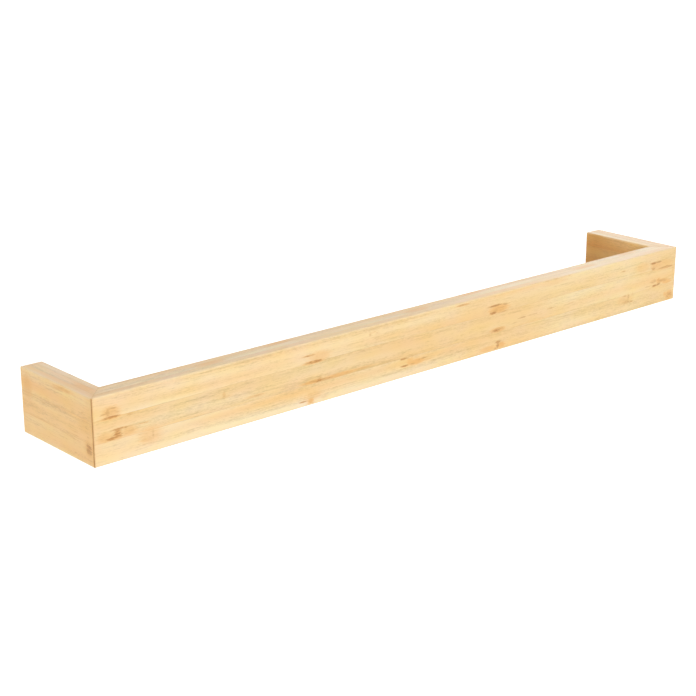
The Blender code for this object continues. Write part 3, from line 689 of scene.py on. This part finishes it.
def bamboo(name, seed, along, through, span, outer_tints, inner_tint, back_tints, marks=()):
    """Laminated bamboo under satin lacquer.

    along and through each give an axis, a direction and an offset in millimetres: along the grain, and
    through the board from its outer face. The board is a block of strips, three up and three through,
    each with its own tone, its own fibres and its own nodes. span is the board's two ends along the
    grain. The outer layer and the board's inner face have a tint at each end, and inner_tint is for the
    top, the underside and the two layers behind the outer one.
    """
    material, nodes, shader = new_material(name)
    at = find_place(nodes, along, through)
    find_strip(nodes, at, seed)
    find_fibre(nodes, at)
    at.noise = {kind: streaks(nodes, at, *shape) for kind, shape in STREAKS.items()}
    at.from_bundle, at.bundle = fibre_bundles(nodes, at)
    at.joint = strip_joints(nodes, at, seed)
    at.seam = mitre_seam(nodes, at, seed)
    at.dark, warm = growth_nodes(nodes, at, marks)

    # The boards are a little redder near their ends
    from_wall = nodes.math("ABSOLUTE", millimetres(nodes, at.place["Y"]))
    from_end = nodes.math("MINIMUM", from_wall, at.from_mitre)
    redder = nodes.times(nodes.step(from_end, *END_WARMTH), at.noise["broad"])
    at.warm = nodes.math("MAXIMUM", warm, redder)

    find_faces(nodes, at, along[0])
    colour = wood_colour(nodes, at, through[0], span, outer_tints, inner_tint, back_tints)
    colour = with_marks(nodes, at, with_fibres(nodes, at, colour))
    nodes.feed(shader.inputs["Base Color"], colour)
    lacquer(nodes, at, shader)
    return material


def steel(name, colour, roughness, scratch_frequencies):
    """Zinc-plated steel: cloudy plating, fine scratches and rubbed edges."""
    material, nodes, shader = new_material(name)
    coordinates = nodes.add("ShaderNodeTexCoord").outputs
    place = coordinates["Object"]
    normal = nodes.add("ShaderNodeSeparateXYZ", {0: coordinates["Normal"]}).outputs
    spangle_place = nodes.vector_math("MULTIPLY", place, (SPANGLE_FREQUENCY,) * 3)
    spangle = nodes.add("ShaderNodeTexVoronoi", {"Vector": spangle_place, "Scale": 1.0})
    crystal = nodes.add("ShaderNodeSeparateColor", {0: spangle.outputs["Color"]}).outputs[0]
    cloud_place = nodes.vector_math("MULTIPLY", place, (CLOUD_FREQUENCY,) * 3)
    cloud = nodes.noise(cloud_place, STEEL_DETAIL, STEEL_NOISE_ROUGHNESS)
    scratch_place = nodes.vector_math("MULTIPLY", place, scratch_frequencies)
    scratch = nodes.noise(scratch_place, SCRATCH_DETAIL, STEEL_NOISE_ROUGHNESS)
    rounded = nodes.step(nodes.greatest(normal), *STEEL_RUBBED_EDGE)
    rubbed = nodes.times(rounded, nodes.step(cloud, *STEEL_RUBBED_PATCHES))

    value = nodes.plus(PLAIN_STOP, nodes.swing(cloud), VALUE_OF_CLOUD)
    value = nodes.plus(value, nodes.swing(crystal), VALUE_OF_SPANGLE)
    dull = tuple(part * DULLEST for part in colour)
    shiny = tuple(min(1.0, part * SHINIEST) for part in colour)
    base = nodes.ramp(value, ((DULL_STOP, dull), (PLAIN_STOP, colour), (SHINY_STOP, shiny)))
    base = nodes.mix(nodes.times(rubbed, RUBBED_COVER), base, RUBBED_GREY)
    nodes.feed(shader.inputs["Base Color"], base)
    rough = nodes.plus(roughness, nodes.swing(scratch), ROUGHNESS_OF_SCRATCH)
    rough = nodes.plus(rough, rubbed, ROUGHNESS_OF_RUBBED)
    nodes.feed(shader.inputs["Roughness"], rough)
    height = nodes.plus(nodes.times(cloud, HEIGHT_OF_CLOUD), scratch, 1.0)
    nodes.bump(shader, height, STEEL_BUMP, STEEL_BUMP_METRES)
    shader.inputs["Metallic"].default_value = 1.0
    return material


def beech(name):
    """Plain fluted beech: short dark flecks along the grain, sanded and dry."""
    material, nodes, shader = new_material(name)
    place = nodes.add("ShaderNodeTexCoord").outputs["Object"]
    turn = {"Vector": place, "Angle": BEECH_ANGLE}
    turned = nodes.add("ShaderNodeVectorRotate", turn, rotation_type="Z_AXIS").outputs[0]
    grain_place = nodes.vector_math("MULTIPLY", turned, BEECH_GRAIN_FREQUENCIES)
    grain = nodes.noise(grain_place, BEECH_DETAIL, BEECH_NOISE_ROUGHNESS)
    cloud = nodes.noise(nodes.vector_math("MULTIPLY", place, BEECH_CLOUD_FREQUENCIES))
    tone = nodes.plus(cloud, nodes.swing(grain), TONE_OF_BEECH_GRAIN)
    nodes.feed(shader.inputs["Base Color"], nodes.ramp(tone, BEECH_RAMP))
    nodes.feed(shader.inputs["Roughness"], nodes.plus(BEECH_ROUGHNESS, grain, ROUGHNESS_OF_BEECH_GRAIN))
    nodes.bump(shader, grain, BEECH_BUMP, BEECH_BUMP_METRES)
    return material


def glue(name):
    """Hardened wood glue with wood dust in it, paler where it was sanded with the level faces."""
    material, nodes, shader = new_material(name)
    coordinates = nodes.add("ShaderNodeTexCoord").outputs
    upward = nodes.add("ShaderNodeSeparateXYZ", {0: coordinates["Normal"]}).outputs["Z"]
    cloud_place = nodes.vector_math("MULTIPLY", coordinates["Object"], GLUE_CLOUD_FREQUENCIES)
    dust_place = nodes.vector_math("MULTIPLY", coordinates["Object"], GLUE_DUST_FREQUENCIES)
    cloud = nodes.noise(cloud_place, GLUE_CLOUD_DETAIL)
    tone = nodes.math("ADD", cloud, nodes.times(nodes.noise(dust_place), TONE_OF_DUST))
    pale = nodes.ramp(tone, GLUE_PALE_RAMP)
    level = nodes.step(nodes.math("ABSOLUTE", upward), *LEVEL_FACE)
    dark = nodes.ramp(tone, GLUE_DARK_RAMP)
    nodes.feed(shader.inputs["Base Color"], nodes.mix(level, dark, pale))
    nodes.feed(shader.inputs["Roughness"], nodes.plus(GLUE_ROUGHNESS, tone, ROUGHNESS_OF_GLUE_TONE))
    return material


def dress(node, material):
    """Gives a CAD node this material alone."""
    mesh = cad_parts[node].data
    mesh.materials.clear()
    mesh.materials.append(material)


def dress_parts():
    """Gives every CAD node its material."""
    rail_span = (-HALF_LENGTH, HALF_LENGTH)
    arm_span = (-DEPTH, 0.0)
    rail_grain = ("X", 1.0, 0.0)
    arm_grain = ("Y", 1.0, 0.0)
    dress("front_rail", bamboo(
        "bamboo rail", RAIL_SEED, rail_grain, ("Y", 1.0, DEPTH), rail_span,
        RAIL_FACE_TINTS, RAIL_EDGE_TINT, BACK_TINTS, RAIL_MARKS,
    ))
    dress("left_arm", bamboo(
        "bamboo left arm", LEFT_ARM_SEED, arm_grain, ("X", 1.0, HALF_LENGTH), arm_span,
        ARM_FACE_TINTS, ARM_EDGE_TINT, BACK_TINTS, LEFT_ARM_MARKS,
    ))
    dress("right_arm", bamboo(
        "bamboo right arm", RIGHT_ARM_SEED, arm_grain, ("X", -1.0, HALF_LENGTH), arm_span,
        ARM_FACE_TINTS, ARM_EDGE_TINT, RIGHT_ARM_PAINTED_LIGHT_AND_SHADE_TINTS,
    ))
    plate = steel("zinc plate", *PLATE_FINISH)
    screw = steel("zinc screw", *SCREW_FINISH)
    dowel = beech("beech")
    for side in ("left", "right"):
        dress(f"{side}_hanger_plate", plate)
        for level in ("upper", "lower"):
            dress(f"{side}_{level}_plate_screw", screw)
            dress(f"{side}_{level}_dowel", dowel)


def rounded_section(inset):
    """The corners of the mitre's section, drawn in by inset, each as points on its rounding.

    A point is its distance along the diagonal from the outer corner, and its height.
    """
    start = EASED_RADIUS * (ROOT_TWO - 1.0) + inset
    spans = (start, BOARD_THICKNESS * ROOT_TWO - inset)
    top = BOARD_HEIGHT / 2 - inset
    rounding = (EASED_RADIUS * ROOT_TWO, EASED_RADIUS)
    points = []
    for far, up, first_angle in ((1, -1, -90.0), (1, 1, 0.0), (0, 1, 90.0), (0, -1, 180.0)):
        inward = -1.0 if far else 1.0
        middle = (spans[far] + rounding[0] * inward, up * (top - rounding[1]))
        for count in range(CORNER_POINTS):
            angle = math.radians(first_angle + 90.0 * count / (CORNER_POINTS - 1))
            turned = (math.cos(angle), math.sin(angle))
            points.append(tuple(m + r * part for m, r, part in zip(middle, rounding, turned)))
    return points


def glue_outline():
    """The glue's outer edge as many points, wiped back unevenly."""
    corners = rounded_section(GLUE_INSET)
    outline = []
    for first, last in zip(corners, corners[1:] + corners[:1]):
        parts = max(1, round(math.dist(first, last) / GLUE_STEP))
        for part in range(parts):
            outline.append(tuple(a + (b - a) * part / parts for a, b in zip(first, last)))
    middle = (BOARD_THICKNESS * ROOT_TWO / 2, 0.0)
    waved = []
    for count, point in enumerate(outline):
        wave = math.sin(count * GLUE_WAVE_TURNS[0]) * math.cos(count * GLUE_WAVE_TURNS[1])
        drawn = 1.0 - GLUE_WAVE * (1.0 + wave) / 2 / math.dist(point, middle)
        waved.append(tuple(m + (v - m) * drawn for m, v in zip(middle, point)))
    return waved


def mitre_glue(name, sign, material):
    """The frame of glue in one mitre: four loops of points, joined into a closed band."""
    outer = glue_outline()
    diagonal = BOARD_THICKNESS * ROOT_TWO
    shrink = (1.0 - 2.0 * GLUE_WIDTH / diagonal, 1.0 - 2.0 * GLUE_WIDTH / BOARD_HEIGHT)
    inner = [(diagonal / 2 + (t - diagonal / 2) * shrink[0], up * shrink[1]) for t, up in outer]
    half_root = math.sqrt(0.5)
    vertices = []
    for loop in (outer, inner):
        for side_step in (-GLUE_THICKNESS / 2, GLUE_THICKNESS / 2):
            for t, up in loop:
                x = sign * (HALF_LENGTH + (side_step - t) * half_root)
                y = -DEPTH + (side_step + t) * half_root
                vertices.append((x * MM, y * MM, up * MM))
    count = len(outer)
    faces = []
    for this in range(count):
        following = (this + 1) % count
        for first, second in ((0, 1), (1, 3), (3, 2), (2, 0)):
            faces.append((first * count + this, first * count + following,
                          second * count + following, second * count + this))
    mesh = bpy.data.meshes.new(name)
    mesh.from_pydata(vertices, [], faces)
    shape = bmesh.new()
    shape.from_mesh(mesh)
    bmesh.ops.recalc_face_normals(shape, faces=shape.faces)
    shape.to_mesh(mesh)
    shape.free()
    mesh.materials.append(material)
    piece = bpy.data.objects.new(name, mesh)
    bpy.context.scene.collection.objects.link(piece)
    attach(piece, "root")


def seen_directly(nodes):
    """1 for what the camera, a reflection or clear glass sees, 0 for the light that falls on things."""
    path = nodes.add("ShaderNodeLightPath").outputs
    first = nodes.math("MAXIMUM", path["Is Camera Ray"], path["Is Glossy Ray"])
    return nodes.math("MAXIMUM", first, path["Is Transmission Ray"])


def lay_floor():
    """A pale floor that the camera sees as white wherever it isn't in shadow."""
    mesh = bpy.data.meshes.new("floor")
    half = FLOOR_SIZE / 2
    corners = [(-half, -half, 0.0), (half, -half, 0.0), (half, half, 0.0), (-half, half, 0.0)]
    mesh.from_pydata(corners, [], [(0, 1, 2, 3)])
    floor = bpy.data.objects.new("floor", mesh)
    floor.location = (0.0, 0.0, -FLOOR_DROP)
    bpy.context.scene.collection.objects.link(floor)
    material, nodes, shader = new_material("floor")
    tone = nodes.noise(nodes.add("ShaderNodeTexCoord").outputs["Object"], FLOOR_DETAIL)
    nodes.feed(shader.inputs["Base Color"], nodes.ramp(tone, FLOOR_RAMP))
    shader.inputs["Roughness"].default_value = FLOOR_ROUGHNESS
    shader.inputs["Emission Color"].default_value = WHITE
    nodes.feed(shader.inputs["Emission Strength"], nodes.times(seen_directly(nodes), FLOOR_GLOW))
    mesh.materials.append(material)


def light_world():
    """Plain light from all round, which the camera sees as white."""
    world = bpy.data.worlds.new("studio")
    world.use_nodes = True
    bpy.context.scene.world = world
    nodes = Nodes(world.node_tree)
    background = world.node_tree.nodes["Background"]
    background.inputs["Color"].default_value = WHITE
    nodes.feed(background.inputs["Strength"], nodes.plus(FILL, seen_directly(nodes), 1.0 - FILL))


def add_softbox(name, place, aim, size, power):
    """A rectangular area light, turned to its aim."""
    light = bpy.data.lights.new(name, "AREA")
    light.shape = "RECTANGLE"
    light.size, light.size_y = size
    light.energy = power
    lamp = bpy.data.objects.new(name, light)
    lamp.location = place
    lamp.rotation_euler = (Vector(aim) - Vector(place)).to_track_quat("-Z", "Y").to_euler()
    bpy.context.scene.collection.objects.link(lamp)


def add_camera():
    data = bpy.data.cameras.new("camera")
    data.lens = CAMERA_LENS
    data.sensor_width = SENSOR_WIDTH
    data.clip_start = CLIP_START
    data.clip_end = CLIP_END
    camera = bpy.data.objects.new("camera", data)
    camera.location = CAMERA_PLACE
    camera.rotation_euler = (math.radians(90.0 - CAMERA_PITCH), 0.0, -math.radians(CAMERA_YAW))
    bpy.context.scene.collection.objects.link(camera)
    bpy.context.scene.camera = camera


dress_parts()
wood_glue = glue("wood glue")
mitre_glue("left_mitre_glue", -1.0, wood_glue)
mitre_glue("right_mitre_glue", 1.0, wood_glue)
lay_floor()
light_world()
for softbox in SOFTBOXES:
    add_softbox(*softbox)
add_camera()
bpy.context.scene.view_settings.view_transform = "Standard"
